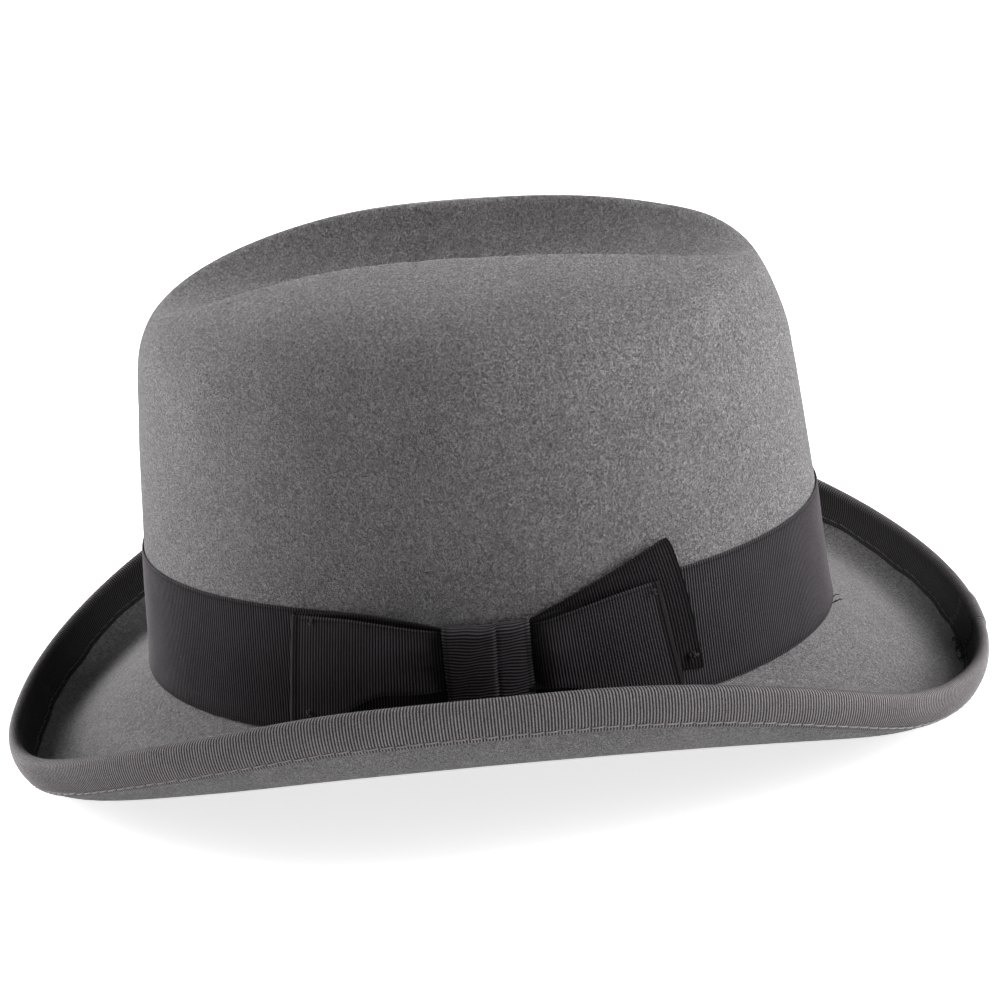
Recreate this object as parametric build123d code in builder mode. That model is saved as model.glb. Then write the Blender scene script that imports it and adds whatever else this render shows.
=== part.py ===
"""Homburg hat: a felt body with a creased crown and a curled brim, its ribbon band and bow,
the bound brim edge, and the sweatband and lining inside.

Frame: +Z up, front of the hat towards -Y, the wearer's left (the bow side) towards +X.
The origin is the middle of the head opening, on the plane the brim rests on. Millimetres.
"""

from build123d import *
from math import cos, radians, sin
import os

os.makedirs("parts", exist_ok=True)

# --- Driving dimensions -------------------------------------------------------------------------
# Felt crown, measured on its outer skin at the top edge of the ribbon band
felt_thickness = 2.4
crown_half_length = 107.0
crown_half_width = 88.0
break_height = 26.2  # middle of the felt where the brim leaves the crown
head_opening_depth = 6.0  # how far the hollow is cut below the break
band_height = 40.0
band_top = 67.7
band_low = band_top - band_height
wall_flare = 0.022  # widening from the band's top edge to the break, as a fraction
wall_taper = 0.0008  # narrowing per millimetre above the band
shoulder_height = 111.5
dome_height = 48.0  # rise of the dome above the shoulder, before the crease takes its top
dome_shares = (0, 0.2, 0.32, 0.49, 0.69, 0.84, 0.93, 0.985)  # of the rise, where it is lofted
dome_power = 2.9  # superellipse exponent of the dome's side view

# Centre crease: a ring-shaped trough that runs from the front to the back of the crown
crease_floor = 130.8
crease_trough_radius = 40.0
crease_sweep_radius = 420.0
ridge_round = 6.0
ridge_round_inside = 3.0

# Brim: from the break a flat stretch, then a curl of constant radius up to the rim
rim_half_length = 155.4
rim_half_width = 130.0
rim_shift_back = 0.6
rim_power = 2.307  # superellipse exponent of the rim's plan
rim_height_mean = 33.1
rim_height_swing = 20.0  # sides up, front and back down
rim_height_ripple = 1.0
rim_height_lean = -1.0  # back lower than the front
rim_height_droop = -0.7  # back quarters lower than the front quarters
brim_slope_side = 2.0
brim_slope_end = -37.9
curl_slope = 98.0  # direction of the felt at the rim, from the horizontal
brim_root = 1.0  # overlap of the brim into the crown, so that they fuse
brim_steps = 9  # lofted sections in each quarter of the brim

# Ribbons and threads
ribbon_thickness = 0.6
cloth_gap = 0.1
binding_gap = 0.2
binding_outer_width = 11.8
binding_inner_width = 13.2
outer_stitch_line = 10.1  # from the rim, along the curl
inner_stitch_line = 11.5
thread_width = 0.4
splice_stitch_length = 1.6
splice_stitch_pitch = 2.4
splice_stitch_first = 2.0  # from the rim to the nearest stitch
splice_stitch_count = 4  # in each row
splice_half_angle = 1.0  # the binding's ends meet at the back, under two rows of hand stitches

# Bow on the wearer's left: places in side view (y, z), and lifts from the felt's outer skin
pinch_half_length = 46.0  # stretch of the band whose top edge the knot draws down
pinch_low = 59.2
pinch_clearance = 5.0  # how far the cutter reaches above the band
band_lift = (cloth_gap, cloth_gap + ribbon_thickness)
tail_lift = (0.8, 1.5)
front_loop_lift = (0.9, 3.1)
rear_loop_lift = (1.6, 3.8)
knot_lift = (0.8, 6.2)
knot_front = -10.5
knot_back = 14.5
knot_low = 34.5
knot_high = 61.0
knot_round = 1.5
loop_end_low = 58.3  # distance of a loop's end fold from the middle of the hat, at its foot
loop_end_high = 53.6
loop_foot = 29.5
loop_head = 67.0
front_loop_pinch = (41.5, 59.8)  # lowest and highest point where the knot grips a loop
rear_loop_pinch = (40.5, 59.0)
loop_head_bow = 1.0  # bulge of a loop's upper and lower edge
loop_foot_bow = 2.0
sleeve_margin = 2.0  # extra height of the sleeve a bow piece is cut from
tail_pinch = (45.0, 60.4)
tail_corners = [(56.8, 78.4), (58.6, 77.4), (65.3, 37.0), (60.5, 32.5)]
tack_length = 1.8
tacks = [
    (-48.7, 64.1, front_loop_lift[1]),
    (-52.6, 35.2, front_loop_lift[1]),
    (52.0, 63.4, rear_loop_lift[1]),
    (16.4, 54.7, rear_loop_lift[1]),
    (61.8, 39.5, tail_lift[1]),
]
loose_thread_length = 4.0
loose_thread_rise = 1.5  # of their foot above the band's lower edge
loose_threads = [(108.3, 30), (108.7, 55)]  # distance back, lean from upright in degrees

# Sweatband and lining, as insets from the felt's inner skin
lining_inset = (0.1, 0.5)
tape_inset = (0.6, 0.9)
leather_inset = (1.0, 1.9)
facing_inset = (2.0, 2.3)  # thin pieces that lie on the sweatband's face
sweatband_low = 30.0
sweatband_high = 75.0
reed_radius = 0.9
reed_height = 28.5
tape_low = 27.5
tape_high = 36.5
seam_tape_width = 14.0
seam_tape_margin = 1.0  # from the reed's tape below and the sweatband's edge above
sweatband_stitch_height = 31.5
size_tab_low = 57.0
size_tab_high = 69.0
size_tab_near = 26.0
size_tab_far = 46.0
inner_bow_height = 37.0
inner_bow_ribbon = 5.0
inner_bow_loop = (8.0, 1.9)
inner_bow_y = 99.9
inner_bow_knot_depth = 2.85
inner_bow_knot_height = 6.0
lining_low = 41.0
lining_high = 112.4
piping_radius = 0.7
piping_height = 113.3
tip_height = 114.2
tip_thickness = 0.4
protector_half_length = 58.0
protector_half_width = 42.0
protector_thickness = 0.3
protector_hem = 1.5

half_felt = felt_thickness / 2
binding_skin = (half_felt + binding_gap, half_felt + binding_gap + ribbon_thickness)
far_side = 200.0  # past every side of the hat, for cutters
core_margin = 1.0  # extra height of a cutter at each end of a sleeve


# --- Crown --------------------------------------------------------------------------------------
def wall_scale(height):
    """Size of the crown's oval at a height, 1 at the top edge of the band."""
    if height < band_top:
        return 1 + wall_flare * (band_top - height) / band_height
    if height <= shoulder_height:
        return 1 - wall_taper * (height - band_top)
    rise = min((height - shoulder_height) / dome_height, 1)
    return wall_scale(shoulder_height) * (1 - rise**dome_power) ** (1 / dome_power)


def wall_axes(height, inset):
    """Half width and half length of the crown's oval, inset from the outer skin."""
    scale = wall_scale(height)
    return crown_half_width * scale - inset, crown_half_length * scale - inset


def wall_solid(inset, heights, ruled=True):
    """Closed oval column through the given heights."""
    with BuildPart() as column:
        for height in heights:
            with BuildSketch(Plane.XY.offset(height)):
                Ellipse(*wall_axes(height, inset))
        loft(ruled=ruled)
    return column.part


def inside(insets):
    """Insets from the outer skin for a piece given by its insets from the felt's inner skin."""
    return [felt_thickness + inset for inset in insets]


def outside(lifts):
    return [-lift for lift in lifts]


def wall_ring(insets, low, high):
    """Thin sleeve that follows the wall between two insets from the outer skin."""
    near, far = sorted(insets)
    knee = [band_top] if low < band_top < high else []
    core_heights = [low - core_margin] + knee + [high + core_margin]
    with BuildPart() as sleeve:
        add(wall_solid(near, [low] + knee + [high]))
        add(wall_solid(far, core_heights), mode=Mode.SUBTRACT)
    return sleeve.part


def inset_share(height):
    """Share of an inset that points down: 0 on the wall, 1 at the top of the dome."""
    return min(max((height - shoulder_height) / dome_height, 0), 1) ** 2


def crown_block(inset, bottom, ridge):
    """Closed crown volume with its crease, inset from the outer skin, its ridges rounded."""
    dome = [shoulder_height + dome_height * share for share in dome_shares]
    with BuildPart() as block:
        add(wall_solid(inset, [bottom, band_top, shoulder_height]))
        for height in dome:
            with BuildSketch(Plane.XY.offset(height - inset * inset_share(height))):
                Ellipse(*wall_axes(height, inset))
        loft()
        with Locations((0, 0, crease_floor + crease_sweep_radius)):
            Torus(
                crease_sweep_radius - crease_trough_radius,
                crease_trough_radius + inset,
                rotation=(0, 90, 0),
                mode=Mode.SUBTRACT,
            )
        fillet(block.edges(Select.LAST), ridge)
    return block.part


# --- Brim ---------------------------------------------------------------------------------------
def signed_power(value, power):
    return abs(value) ** power * (1 if value > 0 else -1)


class BrimSection:
    """The brim's middle line in the upright plane at one angle: a straight run, then an arc."""

    def __init__(self, angle):
        across, along = cos(radians(angle)), sin(radians(angle))
        spread = 1 + wall_flare
        start = Vector(crown_half_width * spread * across, crown_half_length * spread * along, 0)
        rim = Vector(
            rim_half_width * signed_power(across, 2 / rim_power),
            rim_half_length * signed_power(along, 2 / rim_power) + rim_shift_back,
            0,
        )
        outward = (rim - start).normalized()
        reach = (rim - start).length
        rim_height = (
            rim_height_mean
            + rim_height_swing * cos(2 * radians(angle))
            + rim_height_ripple * cos(4 * radians(angle))
            + rim_height_lean * along
            + rim_height_droop * sin(3 * radians(angle))
        )
        rise = rim_height - break_height
        first = radians(brim_slope_side * across**2 + brim_slope_end * along**2)
        last = radians(curl_slope)
        turn = 1 - cos(last - first)
        self.plane = Plane(
            origin=(start.X, start.Y, break_height),
            x_dir=(outward.X, outward.Y, 0),
            z_dir=(outward.Y, -outward.X, 0),
        )
        self.first = first
        self.radius = (rise * cos(first) - reach * sin(first)) / turn
        self.run = (
            reach * (cos(first) - cos(last)) - rise * (sin(last) - sin(first))
        ) / turn
        self.length = self.run + self.radius * (last - first)

    def point(self, distance, lift):
        """Point at a distance along the middle line and a lift above it, in the plane."""
        turned = self.first + max(distance - self.run, 0) / self.radius
        straight = min(distance, self.run)
        bend = self.radius * (sin(turned) - sin(self.first))
        climb = self.radius * (cos(self.first) - cos(turned))
        x = straight * cos(self.first) + bend - lift * sin(turned)
        z = straight * sin(self.first) + climb + lift * cos(turned)
        return x, z

    def face(self, corners):
        """Closed profile from (distance, lift) corners; edges of one lift follow the brim."""
        with BuildSketch(self.plane) as profile:
            with BuildLine():
                for (q0, lift0), (q1, lift1) in zip(corners, corners[1:] + corners[:1]):
                    if lift0 != lift1:
                        Line(self.point(q0, lift0), self.point(q1, lift1))
                        continue
                    stops = sorted({q0, q1, min(max(self.run, min(q0, q1)), max(q0, q1))})
                    for near, far in zip(stops, stops[1:]):
                        ends = self.point(near, lift0), self.point(far, lift0)
                        if far <= self.run:
                            Line(*ends)
                        else:
                            ThreePointArc(ends[0], self.point((near + far) / 2, lift0), ends[1])
            make_face()
        return profile.sketch


def brim_ring(corners):
    """Ring round the whole brim; corners gives a profile's corners on a middle line's length.

    The left half is lofted from front to back and mirrored. Its sections crowd together towards
    the front and the back, so that the halves meet smoothly there.
    """
    with BuildPart() as ring:
        for step in range(-brim_steps, brim_steps + 1):
            section = BrimSection(90 * sin(radians(90 * step / brim_steps)))
            add(section.face(corners(section.length)))
        loft()
        mirror(about=Plane.YZ)
    return ring.part


def felt_brim(length):
    root = -brim_root
    return [(root, -half_felt), (length, -half_felt), (length, half_felt), (root, half_felt)]


def binding_profile(length):
    """U-shaped strip folded over the rim."""
    near, far = binding_skin
    low, high = length - binding_outer_width, length - binding_inner_width
    inner_end, outer_end = length + binding_gap, length + binding_gap + ribbon_thickness
    shell = [(low, -far), (outer_end, -far), (outer_end, far), (high, far)]
    return shell + [(high, near), (inner_end, near), (inner_end, -near), (low, -near)]


def thread_profile(line, side):
    """Square thread lying on the binding, line away from the rim; side is 1 inside the curl."""
    near = side * (binding_skin[1] + cloth_gap)
    far = near + side * thread_width

    def profile(length):
        low, high = length - line - thread_width / 2, length - line + thread_width / 2
        return [(low, near), (high, near), (high, far), (low, far)]

    return profile


with BuildPart() as felt_body:
    add(crown_block(0, break_height, ridge_round))
    add(brim_ring(felt_brim))
    hollow_low = break_height - head_opening_depth
    add(crown_block(felt_thickness, hollow_low, ridge_round_inside), mode=Mode.SUBTRACT)
felt_body.part.label = "felt_body"
export_step(felt_body.part, "parts/felt_body.step")

with BuildPart() as brim_binding:
    add(brim_ring(binding_profile))
brim_binding.part.label = "brim_binding"
export_step(brim_binding.part, "parts/brim_binding.step")

with BuildPart() as binding_outer_thread:
    add(brim_ring(thread_profile(outer_stitch_line, -1)))
binding_outer_thread.part.label = "binding_outer_thread"
export_step(binding_outer_thread.part, "parts/binding_outer_thread.step")

with BuildPart() as binding_inner_thread:
    add(brim_ring(thread_profile(inner_stitch_line, 1)))
binding_inner_thread.part.label = "binding_inner_thread"
export_step(binding_inner_thread.part, "parts/binding_inner_thread.step")

with BuildPart() as splice_stitches:
    for angle in (90 - splice_half_angle, 90 + splice_half_angle):
        section = BrimSection(angle)
        for step in range(splice_stitch_count):
            distance = splice_stitch_first + splice_stitch_pitch * step
            lift = binding_skin[1] + cloth_gap + thread_width / 2
            x, z = section.point(section.length - distance, lift)
            with Locations(section.plane.from_local_coords(Vector(x, z, 0))):
                Box(splice_stitch_length, thread_width / 2, thread_width)
splice_stitches.part.label = "splice_stitches"
export_step(splice_stitches.part, "parts/splice_stitches.step")


# --- Ribbon band and bow ------------------------------------------------------------------------
def wall_point(y, height, lift):
    """Point of the wall's left side, lifted off the felt's outer skin."""
    half_width, half_length = wall_axes(height, -lift)
    return Vector(half_width * (1 - (y / half_length) ** 2) ** 0.5, y, height)


with BuildPart() as ribbon_band:
    add(wall_ring(outside(band_lift), band_low, band_top))
    with BuildSketch(Plane.YZ):
        with BuildLine():
            pinch_end = (pinch_half_length, band_top)
            pinch_start = (-pinch_half_length, band_top)
            cutter_end = (pinch_half_length, band_top + pinch_clearance)
            cutter_start = (-pinch_half_length, band_top + pinch_clearance)
            ThreePointArc(pinch_start, (0, pinch_low), pinch_end)
            Polyline(pinch_end, cutter_end, cutter_start, pinch_start)
        make_face()
    extrude(amount=far_side, mode=Mode.SUBTRACT)
ribbon_band.part.label = "ribbon_band"
export_step(ribbon_band.part, "parts/ribbon_band.step")


def bow_loop(pinch, knot_y, side, lifts):
    """Flattened ribbon loop from its end fold to the knot; side is -1 in front, 1 behind."""
    knot_foot, knot_head = pinch
    with BuildPart() as loop:
        with BuildSketch(Plane.YZ):
            with BuildLine():
                end_low = (side * loop_end_low, loop_foot)
                end_high = (side * loop_end_high, loop_head)
                middle = (side * loop_end_low + knot_y) / 2
                head_middle = (middle, (loop_head + knot_head) / 2 + loop_head_bow)
                foot_middle = (middle, (loop_foot + knot_foot) / 2 + loop_foot_bow)
                Line(end_low, end_high)
                ThreePointArc(end_high, head_middle, (knot_y, knot_head))
                Line((knot_y, knot_head), (knot_y, knot_foot))
                ThreePointArc((knot_y, knot_foot), foot_middle, end_low)
            make_face()
        extrude(amount=far_side)
        sleeve_low, sleeve_high = loop_foot - sleeve_margin, loop_head + sleeve_margin
        add(wall_ring(outside(lifts), sleeve_low, sleeve_high), mode=Mode.INTERSECT)
    return loop.part


with BuildPart() as bow_front_loop:
    add(bow_loop(front_loop_pinch, knot_front - cloth_gap, -1, front_loop_lift))
bow_front_loop.part.label = "bow_front_loop"
export_step(bow_front_loop.part, "parts/bow_front_loop.step")

with BuildPart() as bow_rear_loop:
    add(bow_loop(rear_loop_pinch, knot_back + cloth_gap, 1, rear_loop_lift))
bow_rear_loop.part.label = "bow_rear_loop"
export_step(bow_rear_loop.part, "parts/bow_rear_loop.step")

with BuildPart() as bow_tail:
    with BuildSketch(Plane.YZ):
        with BuildLine():
            knot_y = knot_back + cloth_gap
            tail_low, tail_high = tail_pinch
            Polyline((knot_y, tail_low), (knot_y, tail_high), *tail_corners, close=True)
        make_face()
    extrude(amount=far_side)
    sleeve_high = tail_corners[0][1] + sleeve_margin
    add(wall_ring(outside(tail_lift), loop_foot, sleeve_high), mode=Mode.INTERSECT)
bow_tail.part.label = "bow_tail"
export_step(bow_tail.part, "parts/bow_tail.step")

with BuildPart() as bow_knot:
    with BuildSketch(Plane.YZ):
        with Locations(((knot_front + knot_back) / 2, (knot_low + knot_high) / 2)):
            Rectangle(knot_back - knot_front, knot_high - knot_low)
    extrude(amount=far_side)
    sleeve_low, sleeve_high = knot_low - sleeve_margin, knot_high + sleeve_margin
    add(wall_ring(outside(knot_lift), sleeve_low, sleeve_high), mode=Mode.INTERSECT)
    fillet(bow_knot.faces().sort_by(Axis.X)[-1].edges(), knot_round)
bow_knot.part.label = "bow_knot"
export_step(bow_knot.part, "parts/bow_knot.step")

with BuildPart() as bow_tacks:
    for y, height, surface in tacks:
        with Locations(wall_point(y, height, surface + cloth_gap + thread_width / 2)):
            Cylinder(thread_width / 2, tack_length)
bow_tacks.part.label = "bow_tacks"
export_step(bow_tacks.part, "parts/bow_tacks.step")

with BuildPart() as band_loose_threads:
    for y, lean in loose_threads:
        lift = band_lift[1] + cloth_gap + thread_width
        base = wall_point(y, band_low + loose_thread_rise, lift)
        with Locations(base):
            Cylinder(
                thread_width / 2,
                loose_thread_length,
                rotation=(-lean, 0, 0),
                align=(Align.CENTER, Align.CENTER, Align.MIN),
            )
band_loose_threads.part.label = "band_loose_threads"
export_step(band_loose_threads.part, "parts/band_loose_threads.step")

# --- Sweatband ----------------------------------------------------------------------------------
with BuildPart() as sweatband:
    add(wall_ring(inside(leather_inset), sweatband_low, sweatband_high))
sweatband.part.label = "sweatband"
export_step(sweatband.part, "parts/sweatband.step")


def oval_cord(radius, height, inset):
    """Round cord along the crown's oval, its middle line inset from the felt's inner skin."""
    half_width, half_length = wall_axes(height, felt_thickness + inset)
    with BuildPart() as cord:
        with BuildLine(Plane.XY.offset(height)) as path:
            EllipticalCenterArc((0, 0), half_width, half_length, arc_size=180)
        with BuildSketch(Plane(origin=(half_width, 0, height), x_dir=(1, 0, 0), z_dir=(0, 1, 0))):
            Circle(radius)
        sweep(path=path.wire())
        mirror(about=Plane.XZ)
    return cord.part


with BuildPart() as sweatband_reed:
    add(oval_cord(reed_radius, reed_height, leather_inset[0] + reed_radius))
sweatband_reed.part.label = "sweatband_reed"
export_step(sweatband_reed.part, "parts/sweatband_reed.step")

with BuildPart() as reed_tape:
    add(wall_ring(inside(tape_inset), tape_low, tape_high))
reed_tape.part.label = "reed_tape"
export_step(reed_tape.part, "parts/reed_tape.step")

with BuildPart() as sweatband_stitches:
    half_thread = thread_width / 2
    low, high = sweatband_stitch_height - half_thread, sweatband_stitch_height + half_thread
    add(wall_ring(inside(facing_inset), low, high))
sweatband_stitches.part.label = "sweatband_stitches"
export_step(sweatband_stitches.part, "parts/sweatband_stitches.step")


def wall_patch(insets, low, high, near_x, far_x):
    """Piece of a sleeve at the back of the hat, between two distances to the left."""
    with BuildPart() as patch:
        add(wall_ring(inside(insets), low, high))
        with Locations(((near_x + far_x) / 2, far_side / 2, (low + high) / 2)):
            Box(far_x - near_x, far_side, high - low, mode=Mode.INTERSECT)
    return patch.part


with BuildPart() as sweatband_seam_tape:
    half_tape = seam_tape_width / 2
    low, high = tape_high + seam_tape_margin, sweatband_high - seam_tape_margin
    add(wall_patch(tape_inset, low, high, -half_tape, half_tape))
sweatband_seam_tape.part.label = "sweatband_seam_tape"
export_step(sweatband_seam_tape.part, "parts/sweatband_seam_tape.step")

with BuildPart() as size_tab:
    add(wall_patch(facing_inset, size_tab_low, size_tab_high, size_tab_near, size_tab_far))
size_tab.part.label = "size_tab"
export_step(size_tab.part, "parts/size_tab.step")

with BuildPart() as sweatband_bow:
    loop_x, loop_y = inner_bow_loop
    with BuildSketch(Plane.XY.offset(inner_bow_height)):
        with Locations((-loop_x, inner_bow_y), (loop_x, inner_bow_y)):
            Ellipse(loop_x, loop_y)
            Ellipse(loop_x - ribbon_thickness, loop_y - ribbon_thickness, mode=Mode.SUBTRACT)
    extrude(amount=inner_bow_ribbon)
    with Locations((0, inner_bow_y, inner_bow_height + inner_bow_ribbon / 2)):
        Box(inner_bow_ribbon, inner_bow_knot_depth, inner_bow_knot_height)
    fillet(sweatband_bow.edges().filter_by(Axis.X), ribbon_thickness)
sweatband_bow.part.label = "sweatband_bow"
export_step(sweatband_bow.part, "parts/sweatband_bow.step")

# --- Lining -------------------------------------------------------------------------------------
with BuildPart() as lining_side:
    add(wall_ring(inside(lining_inset), lining_low, lining_high))
lining_side.part.label = "lining_side"
export_step(lining_side.part, "parts/lining_side.step")

with BuildPart() as lining_piping:
    add(oval_cord(piping_radius, piping_height, lining_inset[1] + cloth_gap + piping_radius))
lining_piping.part.label = "lining_piping"
export_step(lining_piping.part, "parts/lining_piping.step")

with BuildPart() as lining_tip:
    with BuildSketch(Plane.XY.offset(tip_height)):
        Ellipse(*wall_axes(tip_height, felt_thickness + lining_inset[1] + cloth_gap))
    extrude(amount=tip_thickness)
lining_tip.part.label = "lining_tip"
export_step(lining_tip.part, "parts/lining_tip.step")

protector_height = tip_height - cloth_gap - protector_thickness
with BuildPart() as tip_protector:
    with BuildSketch(Plane.XY.offset(protector_height)):
        Ellipse(protector_half_width, protector_half_length)
    extrude(amount=protector_thickness)
tip_protector.part.label = "tip_protector"
export_step(tip_protector.part, "parts/tip_protector.step")

with BuildPart() as protector_thread:
    hem_width = protector_half_width - protector_hem
    hem_length = protector_half_length - protector_hem
    with BuildSketch(Plane.XY.offset(protector_height - cloth_gap)):
        Ellipse(hem_width, hem_length)
        Ellipse(hem_width - thread_width, hem_length - thread_width, mode=Mode.SUBTRACT)
    extrude(amount=-thread_width)
protector_thread.part.label = "protector_thread"
export_step(protector_thread.part, "parts/protector_thread.step")
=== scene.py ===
"""Homburg hat: the finished look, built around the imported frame.

Shapes are worked out in millimetres in the frame's own axes (+Z up, front towards -Y, the bow on +X)
and become metres when their mesh is made.
"""

import math

import bmesh
import bpy
import numpy as np
from mathutils import Matrix, Vector


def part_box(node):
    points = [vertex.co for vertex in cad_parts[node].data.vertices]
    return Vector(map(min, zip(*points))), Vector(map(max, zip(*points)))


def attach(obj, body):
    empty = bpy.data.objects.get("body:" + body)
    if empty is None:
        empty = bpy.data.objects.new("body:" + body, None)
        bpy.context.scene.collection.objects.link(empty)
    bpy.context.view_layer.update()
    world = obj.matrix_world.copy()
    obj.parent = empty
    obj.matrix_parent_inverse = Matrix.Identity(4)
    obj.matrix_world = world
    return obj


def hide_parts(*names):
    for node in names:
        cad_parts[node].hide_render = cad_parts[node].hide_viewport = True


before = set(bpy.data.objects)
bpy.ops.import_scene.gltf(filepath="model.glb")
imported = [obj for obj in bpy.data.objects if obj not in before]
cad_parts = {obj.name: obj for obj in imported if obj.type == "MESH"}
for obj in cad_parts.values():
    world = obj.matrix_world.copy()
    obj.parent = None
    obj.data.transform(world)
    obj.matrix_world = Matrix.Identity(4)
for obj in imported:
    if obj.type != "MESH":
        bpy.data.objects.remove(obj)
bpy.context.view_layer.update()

MM = 0.001
BODY = "root"
PI = math.pi
rng = np.random.default_rng(7)


# === Sizes from the frame =======================================================================
def node_box(node):
    """Lowest and highest corner of a CAD node, in millimetres."""
    low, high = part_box(node)
    return np.array(low) / MM, np.array(high) / MM


band_box = node_box("ribbon_band")
felt_box = node_box("felt_body")
knot_box = node_box("bow_knot")
sweatband_box = node_box("sweatband")
tip_box = node_box("lining_tip")
protector_box = node_box("tip_protector")
piping_box = node_box("lining_piping")
side_box = node_box("lining_side")
inner_bow_box = node_box("sweatband_bow")
size_tab_box = node_box("size_tab")

FELT = 2.4  # thickness of the felt
HALF = FELT / 2
BAND_LIFT = 0.7  # ribbon band's face above the felt's skin
WALL_FLARE = 0.022
WALL_TAPER = 0.0008
BAND_LOW, BAND_TOP = band_box[0][2], band_box[1][2]
CROWN_X = (band_box[1][0] - BAND_LIFT) / (1 + WALL_FLARE)
CROWN_Y = (band_box[1][1] - BAND_LIFT) / (1 + WALL_FLARE)
CROWN_TOP = felt_box[1][2]
SHOULDER = CROWN_TOP - 45.4
DOME_RISE = 48.0
DOME_POWER = 2.9
CREASE_FLOOR = CROWN_TOP - 26.1
TROUGH_RADIUS = 40.0
TROUGH_SWEEP = 420.0
RIDGE_BLEND = 2.2
RIM_X = felt_box[1][0] - 1.44
RIM_Y = (felt_box[1][1] - felt_box[0][1]) / 2 - 1.31
RIM_BACK = (felt_box[1][1] + felt_box[0][1]) / 2
RIM_POWER = 2.307
BREAK = BAND_LOW - 1.5
RIM_MEAN = 33.1
RIM_DIPS = ((-0.05, -2.0, 0.26), (0.91, -2.5, 0.24), (-0.45, -1.4, 0.2))  # angle, height, spread
RIM_WAVES = ((2, 20.0, 0.65), (4, 1.0, 0.0), (1, 0.6, -1.0), (3, 0.4, -0.7))  # order, cosine, sine
SLOPE_SIDE, SLOPE_END, SLOPE_RIM = math.radians(2.0), math.radians(-37.9), math.radians(98)

RIB = 0.92  # pitch of the grosgrain's ribs
BINDING_SKIN = 2.0  # binding's face from the felt's middle line
BINDING_THICK = 0.6
BINDING_OUT, BINDING_IN = 11.8, 13.2
STITCH_OUT, STITCH_IN = 10.1, 11.5
STITCH_PITCH = 4.3


# === Shape formulas =============================================================================
def signed_power(value, power):
    return np.sign(value) * np.abs(value) ** power


def smoothstep(value, low=0.0, high=1.0):
    t = np.clip((value - low) / (high - low), 0, 1)
    return t * t * (3 - 2 * t)


def smooth_min(a, b, blend):
    near = np.clip(blend - np.abs(a - b), 0, None) / blend
    return np.minimum(a, b) - near * near * blend / 4


def wall_scale(z):
    """Size of the crown's oval at height z, 1 at the band's top edge."""
    z = np.asarray(z, float)
    below = 1 + WALL_FLARE * (BAND_TOP - z) / (BAND_TOP - BAND_LOW)
    above = 1 - WALL_TAPER * (z - BAND_TOP)
    return np.where(z < BAND_TOP, below, above)


def wall_point(theta, z, lift):
    """Point of the crown's wall at an oval angle and height, lifted off its outer skin."""
    scale = wall_scale(z)
    x = (CROWN_X * scale + lift) * np.cos(theta)
    y = (CROWN_Y * scale + lift) * np.sin(theta)
    return np.stack(np.broadcast_arrays(x, y, z), -1)


def side_point(y, z, lift):
    """Point of the wall's left side given by its distance back, height and lift."""
    scale = wall_scale(z)
    half_y = CROWN_Y * scale + lift
    x = (CROWN_X * scale + lift) * np.sqrt(np.clip(1 - (y / half_y) ** 2, 0, 1))
    return np.stack(np.broadcast_arrays(x, y, z), -1)


def crown_surface(theta, turn, inset):
    """Crown above the shoulder: turn runs from 0 at the shoulder to pi/2 at the top."""
    top_scale = wall_scale(SHOULDER)
    scale = top_scale * np.cos(turn) ** (2 / DOME_POWER)
    rise = np.sin(turn) ** (2 / DOME_POWER)
    x = (CROWN_X * scale - inset * scale / top_scale) * np.cos(theta)
    y = (CROWN_Y * scale - inset * scale / top_scale) * np.sin(theta)
    dome = SHOULDER + DOME_RISE * rise - inset * rise**2
    axis = CREASE_FLOOR + TROUGH_SWEEP
    radius = TROUGH_RADIUS + inset
    inside = np.minimum(np.abs(x), radius * 0.98)
    reach = TROUGH_SWEEP - TROUGH_RADIUS + np.sqrt(radius**2 - inside**2)
    trough = axis - np.sqrt(reach**2 - y**2) + np.clip(np.abs(x) - radius * 0.98, 0, None) * 4
    z = smooth_min(dome + 0 * x, trough, RIDGE_BLEND)
    return np.stack([x, y, z], -1)


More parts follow.
